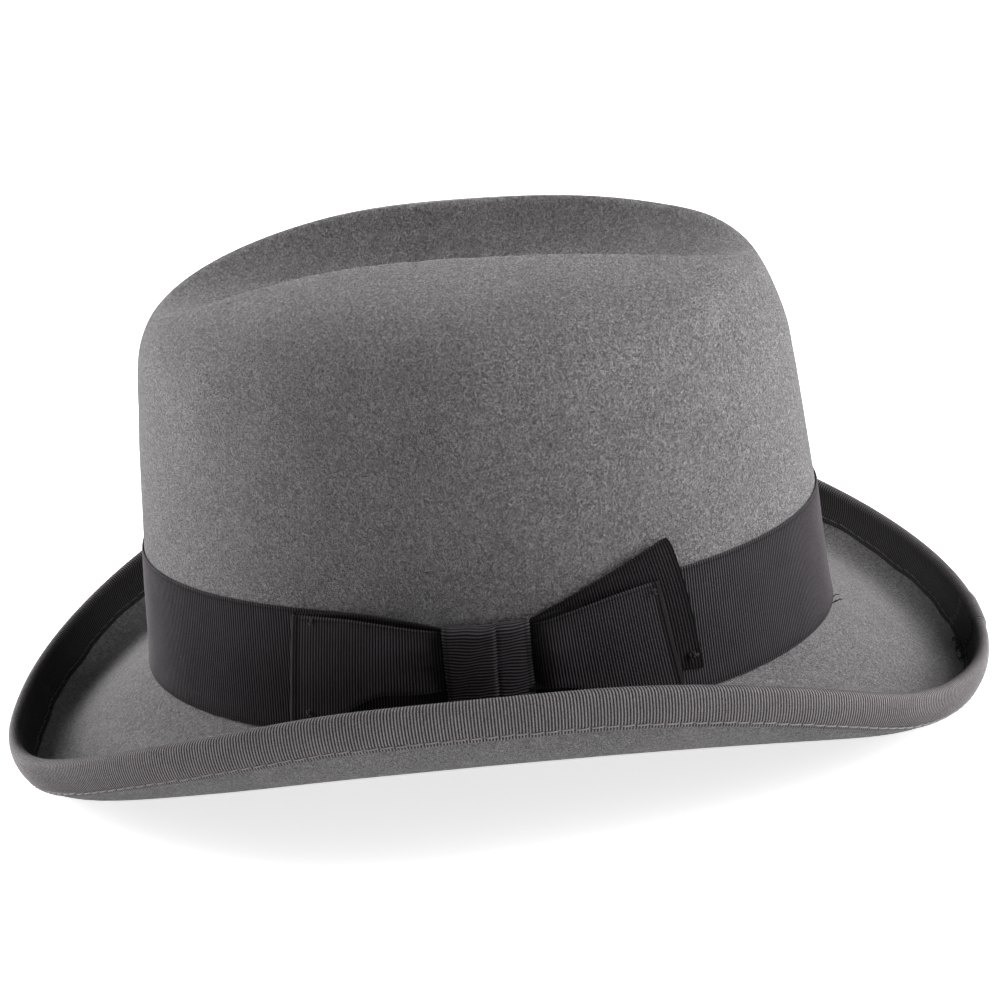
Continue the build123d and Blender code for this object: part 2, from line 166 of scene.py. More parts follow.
class Brim:
    """The brim's middle line at each oval angle: a straight run out, then an arc up to the rim."""

    def __init__(self, theta):
        across, along = np.cos(theta), np.sin(theta)
        spread = 1 + WALL_FLARE
        self.x0, self.y0 = CROWN_X * spread * across, CROWN_Y * spread * along
        rim_x = RIM_X * signed_power(across, 2 / RIM_POWER) - 0.6
        rim_y = RIM_Y * signed_power(along, 2 / RIM_POWER) + RIM_BACK
        reach = np.hypot(rim_x - self.x0, rim_y - self.y0)
        self.out_x, self.out_y = (rim_x - self.x0) / reach, (rim_y - self.y0) / reach
        rim_z = RIM_MEAN
        for order, cosine, sine in RIM_WAVES:
            rim_z = rim_z + cosine * np.cos(order * theta) + sine * np.sin(order * theta)
        for angle, height, spread in RIM_DIPS:
            apart = (theta - angle + PI) % (2 * PI) - PI
            rim_z = rim_z + height * np.exp(-((apart / spread) ** 2))
        rise = rim_z - BREAK
        self.first = SLOPE_SIDE * across**2 + SLOPE_END * along**2
        turn = 1 - np.cos(SLOPE_RIM - self.first)
        self.radius = (rise * np.cos(self.first) - reach * np.sin(self.first)) / turn
        self.run = (
            reach * (np.cos(self.first) - math.cos(SLOPE_RIM))
            - rise * (math.sin(SLOPE_RIM) - np.sin(self.first))
        ) / turn
        self.length = self.run + self.radius * (SLOPE_RIM - self.first)

    def point(self, distance, lift):
        """Points at a distance out along the middle line and a lift above it."""
        turned = self.first + np.clip(distance - self.run, 0, None) / self.radius
        straight = np.minimum(distance, self.run)
        out = straight * np.cos(self.first) + self.radius * (np.sin(turned) - np.sin(self.first))
        up = straight * np.sin(self.first) + self.radius * (np.cos(self.first) - np.cos(turned))
        out = out - lift * np.sin(turned)
        up = up + lift * np.cos(turned)
        return np.stack([self.x0 + self.out_x * out, self.y0 + self.out_y * out, BREAK + up], -1)

    def around_rim(self, swing, radius):
        """Points on a half circle round the rim; swing runs from -90 below to 90 degrees above."""
        return self.point(
            self.length - HALF + radius * math.cos(swing), radius * math.sin(swing)
        )


def arc_angles(path_of, count, start=0.0, samples=20000):
    """Oval angles that split a closed path into count equal lengths, from angle start."""
    theta = np.linspace(start, start + 2 * PI, samples)
    points = path_of(theta)
    walked = np.concatenate([[0], np.cumsum(np.linalg.norm(np.diff(points, axis=0), axis=1))])
    stops = np.arange(count) * walked[-1] / count
    return np.interp(stops, walked, theta), walked[-1]


# === Mesh making ================================================================================
def hand_made(points):
    """The small unevenness of a blocked felt crown, shared by every piece of the hat."""
    x, y, z = points[:, 0], points[:, 1], points[:, 2]
    high = smoothstep(z, BAND_TOP - 20, CROWN_TOP)
    back_tuck = np.exp(-(((z - 129) / 12) ** 2)) * smoothstep(y, 10, 95)
    back_lift = smoothstep(z, 132, 142) * np.exp(-(((y - 86) / 15) ** 2))
    front_lift = smoothstep(z, 138, 152) * np.exp(-(((y + 32) / 30) ** 2))
    front_corner = smoothstep(-y, 40, 95) * (np.exp(-(((z - 122) / 12) ** 2)) - np.exp(-(((z - 146) / 9) ** 2)))
    out = np.zeros_like(points)
    out[:, 0] = high * 0.5 * np.sin(y / 31 + 1.3) * np.cos(z / 23)
    out[:, 1] = high * 0.3 * np.sin(x / 27 + 0.4) + 0.25 * smoothstep(z, 50, 70) - 1.9 * back_tuck + 1.0 * front_corner
    out[:, 2] = high * 0.5 * np.sin(x / 24 + y / 37 + 0.7) + 1.9 * back_lift + 1.0 * front_lift
    return points + out


def make_piece(name, points, faces, material, replaces=(), attributes=None, warp=True):
    """Mesh object from points in millimetres that rides on the hat and stands for CAD nodes."""
    points = np.asarray(points, float).reshape(-1, 3)
    if warp:
        points = hand_made(points)
    mesh = bpy.data.meshes.new(name)
    mesh.from_pydata((points * MM).tolist(), [], faces)
    for key, values in (attributes or {}).items():
        layer = mesh.attributes.new(key, "FLOAT", "POINT")
        layer.data.foreach_set("value", np.asarray(values, np.float32).ravel())
    work = bmesh.new()
    work.from_mesh(mesh)
    bmesh.ops.recalc_face_normals(work, faces=work.faces)
    work.to_mesh(mesh)
    work.free()
    mesh.polygons.foreach_set("use_smooth", [True] * len(mesh.polygons))
    mesh.update()
    piece = bpy.data.objects.new(name, mesh)
    bpy.context.scene.collection.objects.link(piece)
    piece.data.materials.append(material)
    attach(piece, BODY)
    if replaces:
        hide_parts(*replaces)
    return piece


def grid_faces(rows, columns, close_rows=False, close_columns=False, first=0):
    """Quads between a rows x columns block of points; closing wraps the last back to the first."""
    faces = []
    for i in range(rows if close_rows else rows - 1):
        a, b = first + i * columns, first + ((i + 1) % rows) * columns
        for j in range(columns if close_columns else columns - 1):
            k = (j + 1) % columns
            faces.append((a + j, a + k, b + k, b + j))
    return faces


def surface_normals(points):
    """Unit normals of a block of points (rows x columns x 3)."""
    along = np.gradient(points, axis=0)
    across = np.gradient(points, axis=1)
    normal = np.cross(along, across)
    return normal / np.maximum(np.linalg.norm(normal, axis=-1, keepdims=True), 1e-9)


def strip_stops(width, columns):
    """Places across a ribbon, 0 to 1, crowded at its selvedges."""
    near = np.array([0, 0.35, 0.8, 1.2, 1.6]) / width
    return np.concatenate([near, np.linspace(near[-1], 1 - near[-1], columns)[1:-1], 1 - near[::-1]])


def ribbon(name, middle, normals, thick, closed, material, replaces, ribs=None):
    """Closed strip from a block of middle points: rows run along it, columns across.

    ribs gives a grosgrain's (place in its rib by row, stops across, width, tone by row); the rib colour is painted
    shade, and tone adds painted shade and highlight.
    """
    rows, columns = middle.shape[:2]
    swing, tone, marks = 0, 1, None
    edge = np.minimum(np.arange(columns), np.arange(columns)[::-1])[None, :] / 1.5
    if ribs:
        place, across, width, tone = ribs
        wave = np.cos(2 * PI * place)[:, None]
        edge = np.minimum(across, 1 - across)[None, :] * width / 0.6
        line = np.exp(-(((edge * 0.6 - 1.2) / 0.35) ** 2))
        swing = 0.14 * wave - 0.05 * line
        middle = middle.copy()
        for outer, near in ((0, 1), (-1, -2)):
            side = middle[:, outer] - middle[:, near]
            middle[:, outer] += 0.15 * wave * side / np.linalg.norm(side, axis=-1, keepdims=True)
    rounding = 0.25 + 0.75 * smoothstep(edge, 0, 1)
    lift = thick / 2 * rounding + swing * (0.6 + 0.4 * rounding)
    front = middle + normals * lift[..., None]
    back = middle - normals * (thick / 2 * rounding)[..., None]
    loop = np.concatenate([front, back[:, ::-1]], axis=1)
    span = loop.shape[1]
    faces = grid_faces(rows, span, close_rows=closed, close_columns=True)
    if not closed:
        for row, flip in ((0, False), (rows - 1, True)):
            base = row * span
            for j in range(columns - 1):
                quad = (base + j, base + j + 1, base + span - 2 - j, base + span - 1 - j)
                faces.append(quad[::-1] if flip else quad)
    if ribs:
        # Rib colour: painted shade in each rib's groove, darker along the sunken line inside each selvedge, scaled by
        # the painted tone.
        rib = (wave * 0.5 + 0.5) * (1 - 0.3 * line) * tone
        marks = {"rib": np.concatenate([rib, rib[:, ::-1]], axis=1)}
    return make_piece(name, loop, faces, material, replaces, marks)


def tube_rows(path, radius, sides):
    """Rings of points round a path of points, kept from twisting."""
    path = np.asarray(path, float)
    tangent = np.gradient(path, axis=0)
    tangent /= np.linalg.norm(tangent, axis=1, keepdims=True)
    helper = np.array([0.13, 0.27, 0.95])
    first = np.cross(tangent, helper)
    first /= np.linalg.norm(first, axis=1, keepdims=True)
    second = np.cross(tangent, first)
    angle = np.arange(sides) * 2 * PI / sides
    radius = np.broadcast_to(radius, (len(path),))[:, None, None]
    ring = np.cos(angle)[None, :, None] * first[:, None] + np.sin(angle)[None, :, None] * second[:, None]
    return path[:, None] + radius * ring


def tubes(name, paths, radius, material, replaces, sides=8, closed=False, inner=0.0):
    """One piece from many thread paths, each a closed tube."""
    points, faces = [], []
    for path in paths:
        count = len(path)
        size = np.full(count, radius)
        if not closed:
            size[0] = size[-1] = radius * 0.55
        rows = tube_rows(path, size, sides)
        first = sum(len(p) for p in points)
        points.append(rows.reshape(-1, 3))
        faces += grid_faces(count, sides, close_rows=closed, close_columns=True, first=first)
        if not closed:
            faces.append(tuple(first + j for j in range(sides)))
            faces.append(tuple(first + (count - 1) * sides + j for j in range(sides)))
    points = np.concatenate(points)
    marks = {"inner": np.full(len(points), inner)}
    return make_piece(name, points, faces, material, replaces, marks)


# === Materials ==================================================================================
class Shader:
    """A new material with its Principled node, and short calls to add and join nodes."""

    def __init__(self, name, roughness=0.8, **inputs):
        self.material = bpy.data.materials.new(name)
        self.material.use_nodes = True
        self.tree = self.material.node_tree
        self.tree.nodes.clear()
        self.output = self.tree.nodes.new("ShaderNodeOutputMaterial")
        self.main = self.tree.nodes.new("ShaderNodeBsdfPrincipled")
        self.join(self.main.outputs[0], self.output.inputs["Surface"])
        self.main.inputs["Roughness"].default_value = roughness
        for key, value in inputs.items():
            self.main.inputs[key.replace("_", " ")].default_value = value
        self.coordinates = self.tree.nodes.new("ShaderNodeTexCoord").outputs["Object"]

    def join(self, source, target):
        self.tree.links.new(source, target)

    def attribute(self, name):
        node = self.tree.nodes.new("ShaderNodeAttribute")
        node.attribute_name = name
        return node.outputs["Fac"]

    def scaled(self, size):
        """Object coordinates with one unit per size (x, y, z) in millimetres."""
        node = self.tree.nodes.new("ShaderNodeMapping")
        node.inputs["Scale"].default_value = [1 / (s * MM) for s in size]
        self.join(self.coordinates, node.inputs["Vector"])
        return node.outputs["Vector"]

    def noise(self, size, detail=3.0, roughness=0.6, distortion=0.0):
        size = size if isinstance(size, (tuple, list)) else (size, size, size)
        node = self.tree.nodes.new("ShaderNodeTexNoise")
        node.inputs["Scale"].default_value = 1.0
        node.inputs["Detail"].default_value = detail
        node.inputs["Roughness"].default_value = roughness
        node.inputs["Distortion"].default_value = distortion
        self.join(self.scaled(size), node.inputs["Vector"])
        return node.outputs["Fac"]

    def math(self, operation, a, b=0.0, clamp=False):
        node = self.tree.nodes.new("ShaderNodeMath")
        node.operation = operation
        node.use_clamp = clamp
        for value, socket in zip((a, b), node.inputs):
            if isinstance(value, (int, float)):
                socket.default_value = value
            else:
                self.join(value, socket)
        return node.outputs[0]

    def remap(self, value, low, high, to_low=0.0, to_high=1.0):
        node = self.tree.nodes.new("ShaderNodeMapRange")
        self.join(value, node.inputs["Value"])
        for key, number in zip(("From Min", "From Max", "To Min", "To Max"), (low, high, to_low, to_high)):
            node.inputs[key].default_value = number
        return node.outputs["Result"]

    def ramp(self, value, stops):
        node = self.tree.nodes.new("ShaderNodeValToRGB")
        points = node.color_ramp.elements
        while len(points) < len(stops):
            points.new(0.5)
        for point, (place, color) in zip(points, stops):
            point.position = place
            point.color = (*color, 1)
        self.join(value, node.inputs["Fac"])
        return node.outputs["Color"]

    def blend(self, share, a, b):
        node = self.tree.nodes.new("ShaderNodeMix")
        node.data_type = "RGBA"
        for source, key in ((share, "Factor"), (a, "A"), (b, "B")):
            self.join(source, node.inputs[0 if key == "Factor" else {"A": 6, "B": 7}[key]])
        return node.outputs[2]

    def color(self, source):
        self.join(source, self.main.inputs["Base Color"])

    def roughness(self, source):
        self.join(source, self.main.inputs["Roughness"])

    def bump(self, heights):
        """Chain of bumps: (height socket, depth in millimetres) pairs."""
        normal = None
        for height, depth in heights:
            node = self.tree.nodes.new("ShaderNodeBump")
            node.inputs["Strength"].default_value = 1.0
            node.inputs["Distance"].default_value = depth * MM
            self.join(height, node.inputs["Height"])
            if normal is not None:
                self.join(normal, node.inputs["Normal"])
            normal = node.outputs["Normal"]
        self.join(normal, self.main.inputs["Normal"])


def tint(color, factor):
    return tuple(min(c * factor, 1) for c in color)


def felt_material():
    shade = Shader("wool_felt", 0.95, Sheen_Weight=0.42, Sheen_Roughness=0.42, Specular_IOR_Level=0.12)
    grey = (0.181, 0.174, 0.175)
    clumps = shade.noise(1.15, detail=3, roughness=0.62, distortion=1.0)
    grain = shade.noise(0.55, detail=2, roughness=0.6, distortion=0.7)
    streaks = shade.noise((0.4, 0.4, 1.1), detail=2, roughness=0.6, distortion=1.5)
    patches = shade.noise(17, detail=2)
    mix = shade.math("ADD", shade.math("MULTIPLY", clumps, 0.3), shade.math("MULTIPLY", grain, 0.4))
    mix = shade.math("ADD", mix, shade.math("MULTIPLY", streaks, 0.3))
    mix = shade.math("ADD", mix, shade.remap(patches, 0.3, 0.7, -0.01, 0.01))
    shade.color(shade.ramp(mix, [(0.415, tint(grey, 0.38)), (0.5, grey), (0.585, tint(grey, 1.95))]))
    shade.bump([(clumps, 1.5), (grain, 0.8), (streaks, 0.6)])
    return shade.material


def grosgrain_material(name, groove, peak, sheen, uneven, inner=1.0):
    """Ribbed ribbon: the mesh carries the ribs; this adds their weave and paints their shade, dark in the grooves and
    light on the crests.

    inner darkens the half that the mesh's "inner" attribute marks, as painted shade.
    """
    shade = Shader(name, 0.8, Sheen_Weight=sheen, Sheen_Roughness=0.4, Specular_IOR_Level=0.12)
    # Painted shade: the rib attribute turns the ramp from the groove colour in each groove to the peak colour on each
    # crest.
    rib = shade.math("POWER", shade.attribute("rib"), 1.9)
    weave = shade.noise(0.3, detail=2, roughness=0.6)
    slow = shade.noise(9, detail=2)
    mix = shade.math("MULTIPLY", rib, shade.remap(weave, 0.3, 0.7, 1 - uneven, 1 + uneven))
    mix = shade.math("ADD", mix, shade.remap(weave, 0.3, 0.7, -0.2 * uneven, 0.35 * uneven))
    mix = shade.math("MULTIPLY", mix, shade.remap(slow, 0.3, 0.7, 0.92, 1.08))
    shade.color(shade.blend(
        shade.attribute("inner"),
        shade.ramp(mix, [(0.0, groove), (1.0, peak)]),
        shade.ramp(mix, [(0.0, tint(groove, inner)), (1.0, tint(peak, inner))]),
    ))
    shade.bump([(weave, 0.1)])
    return shade.material


def thread_material(name, color, rough=0.6, inner=1.0):
    shade = Shader(name, rough, Sheen_Weight=0.08, Specular_IOR_Level=0.2)
    fibre = shade.noise((0.12, 0.12, 0.3), detail=3)
    # inner darkens the stitches that the "inner" attribute marks, as painted shade.
    shade.color(shade.blend(
        shade.attribute("inner"),
        shade.ramp(fibre, [(0.3, tint(color, 0.6)), (0.7, tint(color, 1.4))]),
        shade.ramp(fibre, [(0.3, tint(color, 0.6 * inner)), (0.7, tint(color, 1.4 * inner))]),
    ))
    shade.bump([(fibre, 0.06)])
    return shade.material


def leather_material():
    shade = Shader("sweatband_leather", 0.42, Specular_IOR_Level=0.45)
    brown = (0.095, 0.05, 0.03)
    node = shade.tree.nodes.new("ShaderNodeTexVoronoi")
    node.feature = "DISTANCE_TO_EDGE"
    shade.join(shade.scaled((0.9, 0.9, 0.9)), node.inputs["Vector"])
    node.inputs["Scale"].default_value = 1.0
    cells = node.outputs["Distance"]
    cloud = shade.noise(14, detail=4)
    pores = shade.noise(0.4, detail=2)
    shade.color(shade.ramp(cloud, [(0.3, tint(brown, 0.75)), (0.7, tint(brown, 1.3))]))
    shade.roughness(shade.remap(cloud, 0.3, 0.7, 0.36, 0.52))
    shade.bump([(shade.remap(cells, 0.0, 0.25), 0.06), (pores, 0.03)])
    return shade.material


def satin_material(name, color):
    shade = Shader(name, 0.32, Sheen_Weight=0.25, Specular_IOR_Level=0.6, Anisotropic=0.6)
    weft = shade.noise((0.15, 0.15, 1.2), detail=2)
    cloud = shade.noise(16, detail=3)
    mix = shade.math("ADD", shade.math("MULTIPLY", weft, 0.4), shade.math("MULTIPLY", cloud, 0.6))
    shade.color(shade.ramp(mix, [(0.3, tint(color, 0.82)), (0.7, tint(color, 1.15))]))
    shade.roughness(shade.remap(weft, 0.2, 0.8, 0.26, 0.42))
    shade.bump([(weft, 0.03), (cloud, 0.3)])
    return shade.material


def cloth_material(name, color, weave=0.5):
    shade = Shader(name, 0.85, Sheen_Weight=0.2, Specular_IOR_Level=0.2)
    threads = shade.noise((weave, weave, weave * 0.5), detail=2)
    shade.color(shade.ramp(threads, [(0.3, tint(color, 0.75)), (0.7, tint(color, 1.15))]))
    shade.bump([(threads, 0.12)])
    return shade.material


def plastic_material(name, color, rough):
    shade = Shader(name, rough)
    cloud = shade.noise(3, detail=3)
    shade.color(shade.ramp(cloud, [(0.3, tint(color, 0.9)), (0.7, tint(color, 1.08))]))
    shade.bump([(cloud, 0.04)])
    return shade.material


def vinyl_material():
    shade = Shader("clear_vinyl", 0.12, Alpha=0.28, Specular_IOR_Level=0.6)
    ripple = shade.noise(11, detail=2)
    shade.color(shade.ramp(ripple, [(0.3, (0.78, 0.8, 0.82)), (0.7, (0.9, 0.92, 0.93))]))
    shade.bump([(ripple, 0.6)])
    return shade.material


felt = felt_material()
band_ribbon = grosgrain_material("band_grosgrain", (0.001, 0.0008, 0.001), (0.085, 0.076, 0.084), 0.02, 0.18)
# The binding is the band's ribbon: its far lighter peak colour is a painted reflection of the floor on the outer face,
# and inner=0.17 is painted shade on the face turned to the crown.
binding_ribbon = grosgrain_material(
    "binding_grosgrain", (0.012, 0.0105, 0.011), (0.28, 0.26, 0.266), 0.04, 0.36, inner=0.17
)
# inner=0.26 is painted shade on the inner row of stitches.
binding_thread = thread_material("binding_thread", (0.23, 0.222, 0.222), inner=0.26)
hand_thread = thread_material("hand_thread", (0.0045, 0.004, 0.0045))
leather = leather_material()
leather_thread = thread_material("sweatband_thread", (0.14, 0.085, 0.05))
satin = satin_material("satin_lining", (0.33, 0.33, 0.35))
piping_satin = satin_material("satin_piping", (0.06, 0.06, 0.066))
bow_satin = satin_material("satin_ribbon", (0.03, 0.027, 0.03))
tape_cloth = cloth_material("cotton_tape", (0.3, 0.28, 0.25))
label_paper = cloth_material("label_paper", (0.78, 0.77, 0.73), weave=0.3)
reed_plastic = plastic_material("reed_plastic", (0.4, 0.36, 0.3), 0.4)
clear_vinyl = vinyl_material()
clear_thread = thread_material("clear_thread", (0.4, 0.4, 0.42))


# === Felt body ==================================================================================
def felt_body():
    """Crown and brim as one closed skin: outside from the top down, round the rim, up inside."""
    columns = 480
    theta = np.arange(columns) * 2 * PI / columns
    brim = Brim(theta)

    def even_turns(count):
        turn = np.linspace(0, PI / 2, 4001)
        side = crown_surface(np.array([0.9]), turn[:, None], 0)[:, 0]
        walked = np.concatenate([[0], np.cumsum(np.linalg.norm(np.diff(side, axis=0), axis=1))])
        stops = np.linspace(0, walked[-1], count + 1)
        return np.interp(stops, walked, turn)

    def corner(start, middle, end, count):
        return [
            (1 - t) ** 2 * start + 2 * t * (1 - t) * middle + t * t * end
            for t in np.linspace(0, 1, count)
        ]

    rows = [crown_surface(theta, turn, 0) for turn in even_turns(74)[::-1][1:]]
    rows += [wall_point(theta, z, 0) for z in np.linspace(SHOULDER, BREAK + HALF + 0.8, 30)[1:-1]]
    rows += corner(
        wall_point(theta, BREAK + HALF + 0.8, 0), wall_point(theta, BREAK + HALF, 0), brim.point(1.6, HALF), 5
    )
    rim_start = brim.length - HALF
    rows += [brim.point(1.6 + (rim_start - 1.6) * t, HALF) for t in np.linspace(0, 1, 36)[1:-1]]
    rows += [brim.around_rim(swing, HALF) for swing in np.linspace(PI / 2, -PI / 2, 9)]
    rows += [brim.point(4 + (rim_start - 4) * t, -HALF) for t in np.linspace(1, 0, 34)[1:-1]]
    inner_low = BREAK - HALF + 5
    rows += corner(
        brim.point(4, -HALF), wall_point(theta, BREAK - HALF, -FELT), wall_point(theta, inner_low, -FELT), 7
    )
    rows += [wall_point(theta, z, -FELT) for z in np.linspace(inner_low, SHOULDER, 14)[1:]]
    rows += [crown_surface(theta, turn, FELT) for turn in even_turns(36)[1:-1]]
    block = np.stack(rows)
    top = crown_surface(np.array([0.0]), PI / 2, 0)
    under = crown_surface(np.array([0.0]), PI / 2, FELT)
    points = np.concatenate([block.reshape(-1, 3), top, under])
    faces = grid_faces(len(rows), columns, close_columns=True)
    last = len(rows) * columns
    base = (len(rows) - 1) * columns
    for j in range(columns):
        k = (j + 1) % columns
        faces.append((last, k, j))
        faces.append((last + 1, base + j, base + k))
    make_piece("felt_hat_body", points, faces, felt, ["felt_body"])


felt_body()


# === Ribbon band ================================================================================
def pinched_top(y):
    """Band's top edge on the bow side, drawn down where the knot grips it."""
    grip = np.exp(-(((y - 2) / 25) ** 2))
    return BAND_TOP - 0.4 - 7.4 * grip - np.exp(-(((y - 2) / 62) ** 2))


def ribbon_band():
    lift = 0.4

    def path(theta):
        return wall_point(theta, BAND_LOW + 20 + 0 * theta, lift)

    per_rib = 4
    length = arc_angles(path, 8)[1]
    ribs = round(length / RIB)
    theta, _ = arc_angles(path, ribs * per_rib)
    across = strip_stops(40, 11)[None, :]
    y = (CROWN_Y * np.sin(theta))[:, None]
    pinch = np.where(np.cos(theta)[:, None] > 0, pinched_top(y), BAND_TOP - 0.4)
    low = BAND_LOW + 0.1 + 0 * y
    z = low + (pinch - low) * across
    flare = 0.5 * (1 - across) ** 6 + 0.15 * np.sin(theta * 9)[:, None] * (across - 0.5) ** 2
    middle = wall_point(theta[:, None], z, lift + flare)
    normals = wall_point(theta[:, None], z, lift + 1) - wall_point(theta[:, None], z, lift)
    place = (np.arange(len(theta)) % per_rib) / per_rib
    ribs_of = (place, across[0], 40, 1)
    ribbon("ribbon_band_cloth", middle, normals, 0.5, True, band_ribbon, ["ribbon_band"], ribs_of)


ribbon_band()


# === Brim binding ===============================================================================
def rim_path(theta):
    brim = Brim(theta)
    return brim.point(brim.length, 0)


SPLICE_WIDTH = 9.0
SPLICE_ANGLE = PI / 2 + 0.045


def splice_lift(theta):
    """Extra height where the binding's end laps over its start at the back."""
    arc = (theta - SPLICE_ANGLE) * 60
    return 0.5 * smoothstep(arc, -SPLICE_WIDTH / 2, -SPLICE_WIDTH / 2 + 0.5) * (
        1 - smoothstep(arc, SPLICE_WIDTH / 2 - 2.5, SPLICE_WIDTH / 2)
    )


def brim_binding_piece():
    per_rib = 4
    length = arc_angles(rim_path, 8)[1]
    ribs = round(length / RIB)
    theta, _ = arc_angles(rim_path, ribs * per_rib)
    brim = Brim(theta)
    place = (np.arange(len(theta)) % per_rib) / per_rib
    wave = np.cos(2 * PI * place)
    lap = splice_lift(theta)
    turns = np.linspace(PI / 2, -PI / 2, 9)
    inner = [BINDING_IN, 12.95, 12.3, 11.9, STITCH_IN, 11.1, 10.6, 8.8, 6.8, 4.8, 3.0]
    outer = [3.0, 4.8, 6.6, 8.4, 9.3, 9.75, STITCH_OUT, 10.45, 10.9, 11.55, BINDING_OUT]
    wander = 0.35 * np.sin(7 * theta + 1) + 0.3 * np.sin(19 * theta) + 0.15 * np.sin(43 * theta + 2)
    # inside marks the inner face for the binding's painted shade, blending round the rim's edge; shade holds the rib
    # colour.
    rows, shade, inside = [], [], []

    def add(distance, side, reach, tone):
        shift = wander * smoothstep(distance, 8, 11) * (side > 0)
        rows.append(brim.point(brim.length - distance - shift, side * reach))
        shade.append(np.broadcast_to(tone, len(theta)))
        inside.append(np.full(len(theta), 1.0 if side > 0 else 0.0))

    def groove(distance, line):
        return 0.22 * math.exp(-(((distance - line) / 0.45) ** 2))

    tone = wave * 0.5 + 0.5
    for side, stations, line, width in ((1, inner, STITCH_IN, BINDING_IN), (-1, outer, STITCH_OUT, BINDING_OUT)):
        if side < 0:
            for swing in turns:
                reach = BINDING_SKIN + 0.085 * wave + lap
                rows.append(brim.point(brim.length - HALF + reach * math.cos(swing), reach * math.sin(swing)))
                shade.append(tone)
                inside.append(np.full(len(theta), 0.5 + 0.5 * math.sin(swing)))
        for distance in stations:
            edge = 0.3 * float(smoothstep(distance, width - 0.6, width))
            swing = 0.12 if distance > line else 0.085
            add(distance, side, BINDING_SKIN + swing * wave + lap - groove(distance, line) - edge, tone)
    # Back layer: rib 0 gives it the darkest groove colour, painted shade where it lies on the felt.
    under = BINDING_SKIN - BINDING_THICK
    add(BINDING_OUT, -1, under + 0.1, tone * 0)
    add(6.0, -1, under, tone * 0)
    add(HALF, -1, under, tone * 0)
    rows.append(brim.point(brim.length - HALF + under, 0 * theta))
    shade.append(tone * 0)
    inside.append(tone * 0)
    add(HALF, 1, under, tone * 0)
    add(6.0, 1, under, tone * 0)
    add(BINDING_IN, 1, under + 0.1, tone * 0)
    block = np.stack(rows, axis=1)
    faces = grid_faces(len(theta), len(rows), close_rows=True, close_columns=True)
    make_piece(
        "rim_binding_cloth", block, faces, binding_ribbon, ["brim_binding"],
        {"rib": np.stack(shade, axis=1), "inner": np.stack(inside, axis=1)},
    )


brim_binding_piece()


# === Stitches ===================================================================================
def rim_stitches(name, distance, side, node, radius, gap):
    """Machine stitches along the binding: short threads that dive in at both ends."""
    def path(theta):
        brim = Brim(theta)
        return brim.point(brim.length - distance, side * BINDING_SKIN)

    length = arc_angles(path, 8)[1]
    count = round(length / STITCH_PITCH)
    starts, _ = arc_angles(path, count)
    step = np.diff(np.append(starts, starts[0] + 2 * PI))
    paths = []
    for begin, span in zip(starts, step):
        t = np.linspace(gap, 1 - gap, 9)
        theta = begin + t * span
        brim = Brim(theta)
        dive = 0.34 * (1 - np.sin(PI * (t - gap) / (1 - 2 * gap)) ** 0.5)
        wobble = 0.14 * rng.uniform(-1, 1) + 0.3 * (t - 0.5)
        if side > 0:
            wobble = wobble - 0.35 * np.sin(7 * theta + 1) - 0.3 * np.sin(19 * theta) - 0.15 * np.sin(43 * theta + 2)
        paths.append(brim.point(brim.length - distance + wobble, side * (BINDING_SKIN + 0.12 - dive)))
    # The inner row takes the thread's painted shade.
    tubes(name, paths, radius, binding_thread, [node], sides=7, inner=float(side > 0))


rim_stitches("outer_stitches", STITCH_OUT, -1, "binding_outer_thread", 0.24, 0.06)
rim_stitches("inner_stitches", STITCH_IN, 1, "binding_inner_thread", 0.19, 0.02)


def splice_stitches():
    """Hand stitches across the binding's lap, and the tuft where they were made off."""
    paths = []
    for edge in (-SPLICE_WIDTH / 2, SPLICE_WIDTH / 2 - 1.2):
        for k in range(6):
            t = np.linspace(0, 1, 7)
            theta = SPLICE_ANGLE + (edge + (t - 0.5) * 1.7) / 60
            brim = Brim(theta)
            distance = 1.5 + 1.75 * k + 0.5 * t + 0.2 * rng.uniform(-1, 1)
            reach = BINDING_SKIN + 0.25 + 0.45 * np.sin(PI * t) ** 0.7 * 0.6
            paths.append(brim.point(brim.length - distance, reach))
    for k in range(70):
        t = np.linspace(-1, 1, 6)
        turn, half = rng.uniform(0, PI), rng.uniform(0.4, 0.9)
        theta = PI / 2 + rng.uniform(-5.5, 2.0) / 60 + half * np.cos(turn) * t / 60
        brim = Brim(theta)
        distance = STITCH_IN + 1.1 + 0.8 * rng.normal() + half * np.sin(turn) * t
        reach = BINDING_SKIN - 0.3 + (0.5 + 0.5 * rng.uniform()) * (1 - t**2)
        paths.append(brim.point(brim.length - distance, reach))
    tubes("splice_hand_stitches", paths, 0.17, hand_thread, ["splice_stitches"], sides=6)


splice_stitches()


# === Bow ========================================================================================
KNOT_FRONT, KNOT_BACK = knot_box[0][1], knot_box[1][1]
KNOT_LOW, KNOT_HIGH = knot_box[0][2], knot_box[1][2] + 0.4


def side_normals(y, z, lift):
    out = side_point(y, z, lift + 1) - side_point(y, z, lift)
    return out / np.linalg.norm(out, axis=-1, keepdims=True)


def rib_rows(length, per_rib=4):
    count = max(int(length / RIB), 4) * per_rib
    return np.linspace(0, 1, count + 1), (np.arange(count + 1) % per_rib) / per_rib


